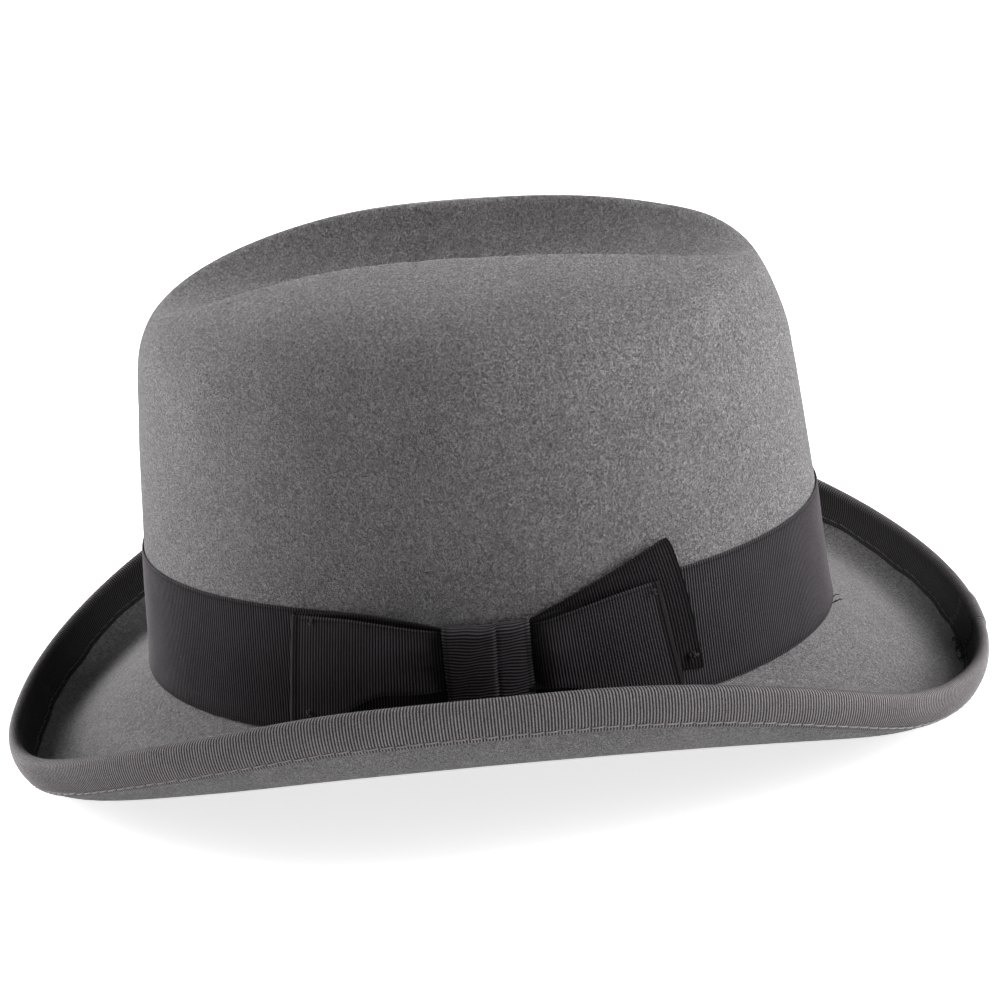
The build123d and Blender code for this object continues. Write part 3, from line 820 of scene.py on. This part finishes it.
def bow_loop(name, node, knot_y, end_foot, end_head, foot, head, under_foot, base_lift, puff, shade):
    """Flattened loop: out along its face, round the end fold and back underneath.

    foot and head give the face's lower and upper edge as functions of the way out, 0 at the knot.
    """
    stops = strip_stops(36, 19)
    across = stops[None, :]
    out_length = abs(end_foot - knot_y)
    fold = 0.95
    total = 2 * out_length + PI * fold
    t, place = rib_rows(total)
    walked = (t * total)[:, None]
    on_face = walked < out_length
    on_back = walked > out_length + PI * fold
    way = np.where(on_face, walked / out_length, np.where(on_back, (total - walked) / out_length, 1.0))
    bend = np.clip((walked - out_length) / fold, 0, PI)
    past_end = np.where(on_face | on_back, 0, fold * np.sin(bend))
    low = np.where(on_back, under_foot(way), foot(way))
    high = head(way) + np.where(on_back, 0.7 * (1 - way), 0)
    z = low + (high - low) * across
    end_y = end_foot + (end_head - end_foot) * across
    sign = np.sign(end_foot - knot_y)
    y = knot_y + (end_y - knot_y) * way + sign * past_end
    face_lift = base_lift + 2 * fold + puff(way, across)
    back_lift = base_lift + 0 * across
    share = (1 - np.cos(bend)) / 2
    lift = np.where(on_face, face_lift, np.where(on_back, back_lift, face_lift + (back_lift - face_lift) * share))
    middle = side_point(y, z, lift)
    normals = surface_normals(middle)
    if np.mean(normals[: len(normals) // 3, :, 0]) < 0:
        normals = -normals
    # Painted shade: darker at the end fold and on the back layer under the face, darker towards the knot, with shade[2]
    # as the loop's painted overall level; a painted highlight lies on the puff's crown.
    tone = 1 - 0.6 * smoothstep(np.where(on_back, 0, way), 0.955, 0.995) - 0.3 * np.where(on_back, 1, 0)
    painted_puff_highlight = np.exp(-(((way - shade[3]) / 0.15) ** 2)) * np.sin(PI * np.clip(across, 0, 1)) ** 0.7
    tone = tone * (shade[2] - shade[0] * np.exp(-((way / shade[1]) ** 2)) + 0.3 * painted_puff_highlight)
    ribbon(name, middle, normals, 0.5, False, band_ribbon, [node], (place, stops, 36, tone))


def front_puff(way, across):
    rise = 3.0 * np.sin(PI * np.clip(way, 0, 1) ** 0.75) + 1.4 * (1 - across) ** 2 * (1 - way)
    sink = 1.4 * np.exp(-((way / 0.13) ** 2))
    pleats = 0.7 * (1 - way) ** 3.5 * np.cos(across * 3 * PI + 0.5)
    gathers = 0.35 * (1 - way) ** 7 * np.cos(across * 8 * PI + 1.1)
    return rise - sink + pleats + gathers


def rear_puff(way, across):
    rise = 3.0 * np.sin(PI * np.clip(way, 0, 1) ** 0.65) + 1.0 * (1 - across) ** 2 * (1 - way)
    bow_in = 0.35 + 0.65 * np.sin(PI * np.clip(across, 0, 1)) ** 0.5
    valley = 3.0 * np.exp(-(((way - 0.085) / 0.055) ** 2)) * bow_in
    pleats = 0.75 * (1 - way) ** 3.5 * np.cos(across * 2.6 * PI + 1.2)
    gathers = 0.4 * (1 - way) ** 7 * np.cos(across * 7 * PI + 0.4)
    return rise + pleats + gathers - valley


# shade sets each loop's painted shade and highlight: depth and reach of the shade by the knot, overall level, place of
# the highlight.
bow_loop(
    "bow_front_loop_cloth", "bow_front_loop", KNOT_FRONT + 1.5, -58.3, -53.7,
    foot=lambda w: 29.5 + 13.5 * smoothstep(0.98 - w, 0, 0.6),
    head=lambda w: 59.6 + 6.9 * (1 - (1 - w) ** 2.2) - 0.7 * smoothstep(w, 0.6, 1.0),
    under_foot=lambda w: 29.5 + 4.0 * (1 - w),
    base_lift=1.3, puff=front_puff, shade=(0.5, 0.2, 0.94, 0.42),
)
bow_loop(
    "bow_rear_loop_cloth", "bow_rear_loop", KNOT_BACK - 1.5, 58.3, 52.8,
    foot=lambda w: 29.5 + 11.5 * smoothstep(0.98 - w, 0, 0.8),
    head=lambda w: 59.2 + 7.0 * (1 - (1 - w) ** 2.0),
    under_foot=lambda w: 29.5 + 4.0 * (1 - w),
    base_lift=2.0, puff=rear_puff, shade=(0.8, 0.1, 0.82, 0.3),
)


def bow_tail():
    """Second layer behind the rear loop: it climbs past the band and ends in a cut edge."""
    stops = strip_stops(44, 19)
    across = stops[None, :]
    start = KNOT_BACK - 1.0
    t, place = rib_rows(50.0)
    way = t[:, None]
    head_y = start + (57.9 - start) * way
    head_z = 60.2 + (78.7 - 60.2) * way**0.96
    foot_y = start + (65.2 - start) * way
    foot_z = 44.0 + (34.6 - 44.0) * way
    y = foot_y + (head_y - foot_y) * across + 1.2 * np.sin(PI * across) * way
    z = foot_z + (head_z - foot_z) * across
    tip = smoothstep(across, 0.93, 1.0) * smoothstep(way, 0.93, 1.0)
    y, z = y - 0.7 * tip, z - 0.6 * tip
    lift = 1.15 + 1.6 * way * smoothstep(across, 0.1, 0.9) + 0.4 * np.sin(PI * way) * across
    middle = side_point(y, z, lift)
    normals = side_normals(y, z, lift)
    # Painted shade: the whole tail darker than the same ribbon elsewhere, darkest in a narrow stripe at its cut end.
    tone = 0.6 - 0.27 * np.exp(-(((1 - way) / 0.03) ** 2))
    ribbon(
        "bow_tail_cloth", middle, normals, 0.5, False, band_ribbon, ["bow_tail"],
        (place, stops, 44, tone),
    )


bow_tail()


def bow_knot():
    """Ribbon wrapped over the bow's middle, folded into two panels by one upright pleat."""
    stops = np.linspace(0, 1, 43)
    across = stops[None, :]
    radius = 2.1
    front_lift = 5.3
    straight = KNOT_HIGH - KNOT_LOW - 2 * radius
    total = straight + 2 * PI * radius + 4
    t, place = rib_rows(total)
    walked = (t * total)[:, None]
    top_turn = np.clip((walked - 2) / radius, 0, PI)
    low_turn = np.clip((walked - 2 - PI * radius - straight) / radius, 0, PI)
    down = np.clip(walked - 2 - PI * radius, 0, straight)
    head = KNOT_HIGH - radius
    z = head - np.clip(2 - walked, 0, 2) + radius * np.sin(top_turn) - down - radius * np.sin(low_turn)
    z = z + np.clip(walked - 2 - 2 * PI * radius - straight, 0, 2)
    lift = front_lift - radius + radius * -np.cos(top_turn)
    lift = lift - radius * (1 - np.cos(low_turn))
    ragged = 0.14 * rng.uniform(-1, 1, (len(t), 1)) * (1 - smoothstep(across, 0.0, 0.04))
    y = KNOT_FRONT + (KNOT_BACK + 0.6 - KNOT_FRONT) * across + ragged
    crown = 0.9 * (1 - (2 * across - 1) ** 2) - 0.7 * np.abs(2 * across - 1) ** 9
    pleat_y = 4.3 + 0.04 * (z - 50)
    step = 0.5 * (1 - smoothstep(y, pleat_y - 0.1, pleat_y + 0.5)) - 0.45 * np.exp(-(((y - pleat_y - 0.75) / 0.4) ** 2))
    step = step * smoothstep(lift, 1.0, 4.0)
    squeeze = smoothstep(lift, 1.0, 4.0)
    sag = 0.22 * np.sin(7 * across + walked / 5) + 0.16 * np.sin(17 * across + walked / 2.3)
    middle = side_point(y + 0 * z, z + sag * squeeze, lift + crown * squeeze + step)
    normals = surface_normals(middle)
    centre = len(middle) // 2
    if normals[centre, 20, 0] < 0:
        normals = -normals
    # tone 0.95 paints the knot slightly darker than the band, as painted shade.
    ribbon(
        "bow_knot_cloth", middle, normals, 0.5, False, band_ribbon, ["bow_knot"],
        (place, stops, 25, 0.95),
    )


bow_knot()


def bow_tacks():
    """Small clumps of crossed hand stitches that hold the bow down."""
    places = [
        (-49.0, 64.0, 4.4, 5), (-52.8, 35.6, 4.6, 5), (52.0, 64.0, 5.6, 5), (17.2, 55.6, 4.2, 6), (63.2, 39.6, 1.9, 16),
    ]
    paths = []
    for y, z, lift, count in places:
        spread = 0.12 * count**0.7
        for k in range(count):
            angle = k * 2.4 + 0.5
            t = np.linspace(-1, 1, 7)
            across, up = y + spread * rng.normal(), z + spread * rng.normal()
            dy, dz = 0.85 * math.cos(angle) * t, 0.85 * math.sin(angle) * t
            paths.append(side_point(across + dy, up + dz, lift + 0.45 * (1 - t**2)))
    tubes("bow_hand_tacks", paths, 0.2, hand_thread, ["bow_tacks"])


bow_tacks()


def band_loose_threads():
    """Thread ends left at the band's lower edge, at the back."""
    paths = []
    for angle, curl, reach in ((1.42, 0.5, 3.4), (1.44, -0.4, 2.6), (1.46, 0.9, 2.2)):
        t = np.linspace(0, 1, 9)
        lift = 0.7 + (reach + 0.4) * t**1.3
        z = BAND_LOW - 0.4 + 1.6 * t + curl * np.sin(PI * t)
        paths.append(wall_point(angle + 0.012 * curl * t, z, lift))
    tubes("band_thread_ends", paths, 0.13, hand_thread, ["band_loose_threads"])


band_loose_threads()


# === Inside: sweatband and lining ================================================================
def inner_lift(inset):
    """Lift of something set in from the felt's inner skin."""
    return -(FELT + inset)


def even_angles(count, z, inset):
    return arc_angles(lambda theta: wall_point(theta, z + 0 * theta, inner_lift(inset)), count)[0]


def sleeve(name, low, high, inset_of, thick, material, node, rows=360, columns=16):
    """Closed cloth or leather sleeve; low and high are edges by angle, inset_of its middle."""
    theta = even_angles(rows, BAND_TOP, 1.0)[:, None]
    across = np.linspace(0, 1, columns)[None, :]
    z = low(theta) + (high(theta) - low(theta)) * across
    inset = inset_of(theta, z)
    middle = wall_point(theta, z, inner_lift(inset))
    normals = wall_point(theta, z, inner_lift(inset - 1)) - middle
    normals /= np.linalg.norm(normals, axis=-1, keepdims=True)
    ribbon(name, middle, normals, thick, True, material, [node])


def even(value):
    return lambda theta: value + 0 * theta


def leather_inset(theta, z):
    stand_off = 0.9 * smoothstep(z, 62, 75) * (1 + 0.3 * np.sin(3 * theta + 1))
    return 1.45 + stand_off + 0.12 * np.sin(11 * theta + z / 9)


def lining_inset(theta, z):
    folds = 0.3 * np.sin(38 * theta + 0.8 * np.sin(5 * theta)) + 0.22 * np.sin(67 * theta + 1.3 + z / 30)
    folds += 0.3 * np.sin(17 * theta + z / 21)
    gather = 0.16 * np.sin(130 * theta) * smoothstep(z, 96, 112)
    hang = smoothstep(z, 76, 88)
    return 0.3 + hang * (0.75 + folds + gather) * (1 - 0.45 * smoothstep(z, 104, 112))


SWEAT_LOW, SWEAT_HIGH = sweatband_box[0][2], sweatband_box[1][2]
sleeve(
    "sweatband_leather_strip", even(SWEAT_LOW),
    lambda theta: SWEAT_HIGH + 0.35 * np.sin(5 * theta) + 0.25 * np.sin(13 * theta + 2),
    leather_inset, 0.9, leather, "sweatband", rows=420, columns=18,
)
sleeve(
    "reed_tape_cloth", even(SWEAT_LOW - 2.5), even(SWEAT_LOW + 6.5), lambda theta, z: 0.75 + 0 * z,
    0.3, tape_cloth, "reed_tape", columns=8,
)
sleeve(
    "lining_side_satin", even(side_box[0][2]), even(side_box[1][2]), lining_inset,
    0.35, satin, "lining_side", rows=900, columns=30,
)


def oval_path(count, z, inset):
    theta = even_angles(count, z, inset)
    return wall_point(theta, z + 0 * theta, inner_lift(inset))


tubes(
    "reed_cord", [oval_path(360, SWEAT_LOW - 1.5, 1.9)], 0.9, reed_plastic, ["sweatband_reed"],
    sides=12, closed=True,
)


def twisted_piping():
    """Satin piping: a cord whose skin winds round it in soft ridges."""
    count, sides = 1600, 14
    z = (piping_box[0][2] + piping_box[1][2]) / 2
    path = oval_path(count, z, 1.3)
    rows = tube_rows(path, 1.0, sides)
    turn = np.arange(sides)[None, :] * 2 * PI / sides + np.arange(count)[:, None] * 2 * PI * 190 / count
    radius = 0.66 + 0.07 * np.cos(turn)
    rows = path[:, None] + (rows - path[:, None]) * radius[..., None]
    faces = grid_faces(count, sides, close_rows=True, close_columns=True)
    make_piece("lining_piping_cord", rows, faces, piping_satin, ["lining_piping"], None)


twisted_piping()


def thread_run(name, z, inset, pitch, radius, material, node, extra=()):
    """Row of short stitches round the inside."""
    length = arc_angles(lambda theta: wall_point(theta, z + 0 * theta, inner_lift(inset)), 8)[1]
    count = round(length / pitch)
    starts = even_angles(count, z, inset)
    t = np.linspace(0.1, 0.9, 7)
    paths = list(extra)
    for begin in starts:
        theta = begin + t * 2 * PI / count
        dive = 0.3 * (1 - np.sin(PI * (t - 0.1) / 0.8) ** 0.6)
        paths.append(wall_point(theta, z + 0.12 * rng.uniform(-1, 1) + 0 * t, inner_lift(inset - dive)))
    tubes(name, paths, radius, material, [node], sides=6)


def seam_zigzag():
    """Zigzag that closes the sweatband's ends at the back."""
    stops = np.linspace(SWEAT_LOW + 4, SWEAT_HIGH - 2, 27)
    theta = PI / 2 + 0.017 * np.where(np.arange(27) % 2, 1, -1)
    inset = leather_inset(theta, stops) + 0.6
    return wall_point(theta, stops, inner_lift(inset))


thread_run(
    "sweatband_stitching", SWEAT_LOW + 1.5, 2.05, 3.0, 0.17, leather_thread, "sweatband_stitches",
    extra=[seam_zigzag()],
)


def wall_patch(name, theta_low, theta_high, low, high, inset_of, thick, material, node):
    theta = np.linspace(theta_low, theta_high, 40)[:, None]
    z = low + (high - low) * np.linspace(0, 1, 14)[None, :]
    inset = inset_of(theta, z)
    middle = wall_point(theta, z, inner_lift(inset))
    normals = wall_point(theta, z, inner_lift(inset - 1)) - middle
    normals /= np.linalg.norm(normals, axis=-1, keepdims=True)
    ribbon(name, middle, normals, thick, False, material, [node])


wall_patch(
    "seam_tape_cloth", PI / 2 - 0.082, PI / 2 + 0.082, SWEAT_LOW + 7.5, SWEAT_HIGH - 1,
    lambda theta, z: 0.75 + 0 * (z + theta), 0.3, tape_cloth, "sweatband_seam_tape",
)
inner_half = CROWN_X - FELT - 2
wall_patch(
    "size_tab_paper", math.acos(size_tab_box[0][0] / inner_half), math.acos(size_tab_box[1][0] / inner_half),
    size_tab_box[0][2], size_tab_box[1][2],
    lambda theta, z: leather_inset(theta, z) + 0.62 + 0.5 * smoothstep(z, 60, 69),
    0.2, label_paper, "size_tab",
)


def inner_bow():
    """Small satin bow over the sweatband's seam: two loops, a knot and two short tails."""
    low, high = inner_bow_box
    middle_y, middle_z = (low[1] + high[1]) / 2 - 0.7, (low[2] + high[2]) / 2
    blocks = []
    across = np.linspace(-1, 1, 9)[None, :]
    for side in (-1, 1):
        t = np.linspace(0, 2 * PI, 61)[:-1, None]
        x = side * (7.6 - 7.4 * np.cos(t))
        y = middle_y + 1.6 * np.sin(t) * (0.4 + 0.6 * smoothstep(np.abs(x), 0, 9)) - 0.0009 * x**3 * side
        half = 1.3 + 1.5 * smoothstep(np.abs(x), 0, 9)
        z = middle_z + half * across + 0.35 * side * np.sin(t) * across**2 - 0.08 * np.abs(x)
        blocks.append((np.stack(np.broadcast_arrays(x, y, z), -1), True))
    t = np.linspace(0, 2 * PI, 41)[:-1, None]
    x = 2.1 * across + 0 * t
    y = middle_y + 1.9 * np.cos(t) - 0.25 * across**2
    z = middle_z + 2.4 * np.sin(t) + 0 * across
    blocks.append((np.stack(np.broadcast_arrays(x, y, z), -1), True))
    for side in (-1, 1):
        t = np.linspace(0, 1, 24)[:, None]
        x = side * (0.8 + 6.5 * t) + 1.5 * across
        y = middle_y - 1.2 + 0.5 * np.sin(3 * t) + 0.2 * across * t
        z = middle_z - 1.2 - 5.2 * t - 0.6 * side * across * t
        blocks.append((np.stack(np.broadcast_arrays(x, y, z), -1), False))
    points, faces, count = [], [], 0
    for block, closed in blocks:
        normal = surface_normals(block) * 0.14
        rows, columns = block.shape[:2]
        loop = np.concatenate([block + normal, (block - normal)[:, ::-1]], axis=1)
        faces += grid_faces(rows, 2 * columns, close_rows=closed, close_columns=True, first=count)
        if not closed:
            for row in (0, rows - 1):
                base = count + row * 2 * columns
                faces += [
                    (base + j, base + j + 1, base + 2 * columns - 2 - j, base + 2 * columns - 1 - j)
                    for j in range(columns - 1)
                ]
        points.append(loop.reshape(-1, 3))
        count += rows * 2 * columns
    make_piece("sweatband_bow_satin", np.concatenate(points), faces, bow_satin, ["sweatband_bow"], None)


inner_bow()


def disc(name, half_x, half_y, z_of, thick, material, node, rings=26, spokes=300):
    """Thin oval sheet, both faces joined round its edge."""
    share = np.linspace(0, 1, rings + 1)[1:, None]
    theta = (np.arange(spokes) * 2 * PI / spokes)[None, :]
    x, y = half_x * share * np.cos(theta), half_y * share * np.sin(theta)
    z = z_of(share, theta)
    top = np.stack([x, y, z + thick / 2], -1)
    under = np.stack([x, y, z - thick / 2], -1)
    block = np.concatenate([top, under[::-1]])
    count = block.shape[0] * spokes
    middle = float(z_of(np.array([[0.0]]), np.array([[0.0]]))[0, 0])
    points = np.concatenate([block.reshape(-1, 3), [(0, 0, middle + thick / 2)], [(0, 0, middle - thick / 2)]])
    faces = grid_faces(block.shape[0], spokes, close_columns=True)
    base = (block.shape[0] - 1) * spokes
    for j in range(spokes):
        k = (j + 1) % spokes
        faces.append((count, k, j))
        faces.append((count + 1, base + j, base + k))
    make_piece(name, points, faces, material, [node], None)


def tip_height(share, theta):
    pucker = 0.3 * np.sin(46 * theta) + 0.22 * np.sin(71 * theta + 1)
    slack = 0.5 * np.sin(3 * theta + 4 * share) * share**2 * (1 - share)
    return (tip_box[0][2] + tip_box[1][2]) / 2 + pucker * share**7 + slack + 0.9 * (1 - share**2)


def protector_height(share, theta):
    ripple = 0.12 * np.sin(4 * theta + 2) * share**2
    return (protector_box[0][2] + protector_box[1][2]) / 2 + 0.5 * (1 - share**2) + ripple


TIP_X, TIP_Y = tip_box[1][0], tip_box[1][1]
SHEET_X, SHEET_Y = protector_box[1][0], protector_box[1][1]
disc("lining_tip_satin", TIP_X - 0.2, TIP_Y - 0.2, tip_height, 0.3, satin, "lining_tip")
disc(
    "tip_protector_sheet", SHEET_X, SHEET_Y, protector_height, 0.3, clear_vinyl, "tip_protector",
    rings=14, spokes=180,
)


def protector_stitches():
    def path(theta):
        x, y = (SHEET_X - 1.7) * np.cos(theta), (SHEET_Y - 1.7) * np.sin(theta)
        return np.stack([x, y, protector_height(0.96, theta) - 0.2], -1)

    count = round(arc_angles(path, 8)[1] / 3.2)
    starts, _ = arc_angles(path, count)
    t = np.linspace(0.1, 0.9, 6)
    paths = [path(begin + t * 2 * PI / count) for begin in starts]
    tubes("protector_stitching", paths, 0.14, clear_thread, ["protector_thread"], sides=6)


protector_stitches()


# === Stage, light and camera ====================================================================
def floor():
    """Wide pale floor; what the camera sees of it turns evenly white away from the hat."""
    half = 6.0
    mesh = bpy.data.meshes.new("floor")
    corners = [(-half, -half, 0), (half, -half, 0), (half, half, 0), (-half, half, 0)]
    mesh.from_pydata(corners, [], [(0, 1, 2, 3)])
    plane = bpy.data.objects.new("floor", mesh)
    bpy.context.scene.collection.objects.link(plane)
    shade = Shader("studio_floor", 0.9, Specular_IOR_Level=0.0)
    shade.main.inputs["Base Color"].default_value = (0.86, 0.86, 0.86, 1)
    shade.main.inputs["Emission Color"].default_value = (1, 1, 1, 1)
    length = shade.tree.nodes.new("ShaderNodeVectorMath")
    length.operation = "LENGTH"
    shade.join(shade.coordinates, length.inputs[0])
    far = shade.remap(length.outputs["Value"], 0.15, 1.1, 0.62, 1.25)
    seen = shade.tree.nodes.new("ShaderNodeLightPath").outputs["Is Camera Ray"]
    glow = shade.math("ADD", shade.math("MULTIPLY", far, seen), 0.12)
    shade.join(glow, shade.main.inputs["Emission Strength"])
    mesh.materials.append(shade.material)


floor()


def area_light(name, place, target, size, watts):
    light = bpy.data.lights.new(name, "AREA")
    light.shape = "RECTANGLE"
    light.size, light.size_y = size
    light.energy = watts
    lamp = bpy.data.objects.new(name, light)
    lamp.location = place
    lamp.rotation_euler = (Vector(target) - Vector(place)).to_track_quat("-Z", "Y").to_euler()
    bpy.context.scene.collection.objects.link(lamp)


centre = (0, 0, 0.08)
area_light("front_side_box", (-0.5, -1.22, 0.58), centre, (1.0, 1.1), 45)
area_light("rear_side_box", (0.0, 1.28, 0.76), centre, (1.1, 1.3), 46)
area_light("camera_side_box", (1.6, 0.0, 0.25), centre, (1.6, 0.5), 3.4)

world = bpy.data.worlds.new("studio")
bpy.context.scene.world = world
world.use_nodes = True
sky = world.node_tree
direction = sky.nodes.new("ShaderNodeTexCoord").outputs["Generated"]
height = sky.nodes.new("ShaderNodeSeparateXYZ")
fade = sky.nodes.new("ShaderNodeMapRange")  # bright walls, dimmer ceiling
sky.links.new(direction, height.inputs[0])
sky.links.new(height.outputs["Z"], fade.inputs["Value"])
for key, number in (("From Min", 0.0), ("From Max", 0.9), ("To Min", 0.3), ("To Max", 0.1)):
    fade.inputs[key].default_value = number
sky.nodes["Background"].inputs["Color"].default_value = (1, 1, 1, 1)
sky.links.new(fade.outputs["Result"], sky.nodes["Background"].inputs["Strength"])

scene = bpy.context.scene
scene.view_settings.view_transform = "Standard"
scene.view_settings.look = "None"


def camera():
    azimuth, elevation, roll = math.radians(92.1), math.radians(18.84), math.radians(-6.1)
    distance = 1.0
    aim = Vector((0, 0, 0.0814))
    slide_right, slide_up = 0.00856, -0.01174
    back = Vector((
        math.sin(azimuth) * math.cos(elevation),
        -math.cos(azimuth) * math.cos(elevation),
        math.sin(elevation),
    ))
    level = (-back).cross(Vector((0, 0, 1))).normalized()
    upright = level.cross(-back).normalized()
    right = math.cos(roll) * level + math.sin(roll) * upright
    up = math.cos(roll) * upright - math.sin(roll) * level
    place = aim + back * distance + right * slide_right + up * slide_up
    data = bpy.data.cameras.new("camera")
    data.sensor_width = 36
    data.lens = 113.55
    view = bpy.data.objects.new("camera", data)
    view.matrix_world = Matrix((
        (right.x, up.x, back.x, place.x),
        (right.y, up.y, back.y, place.y),
        (right.z, up.z, back.z, place.z),
        (0, 0, 0, 1),
    ))
    bpy.context.scene.collection.objects.link(view)
    bpy.context.scene.camera = view


camera()
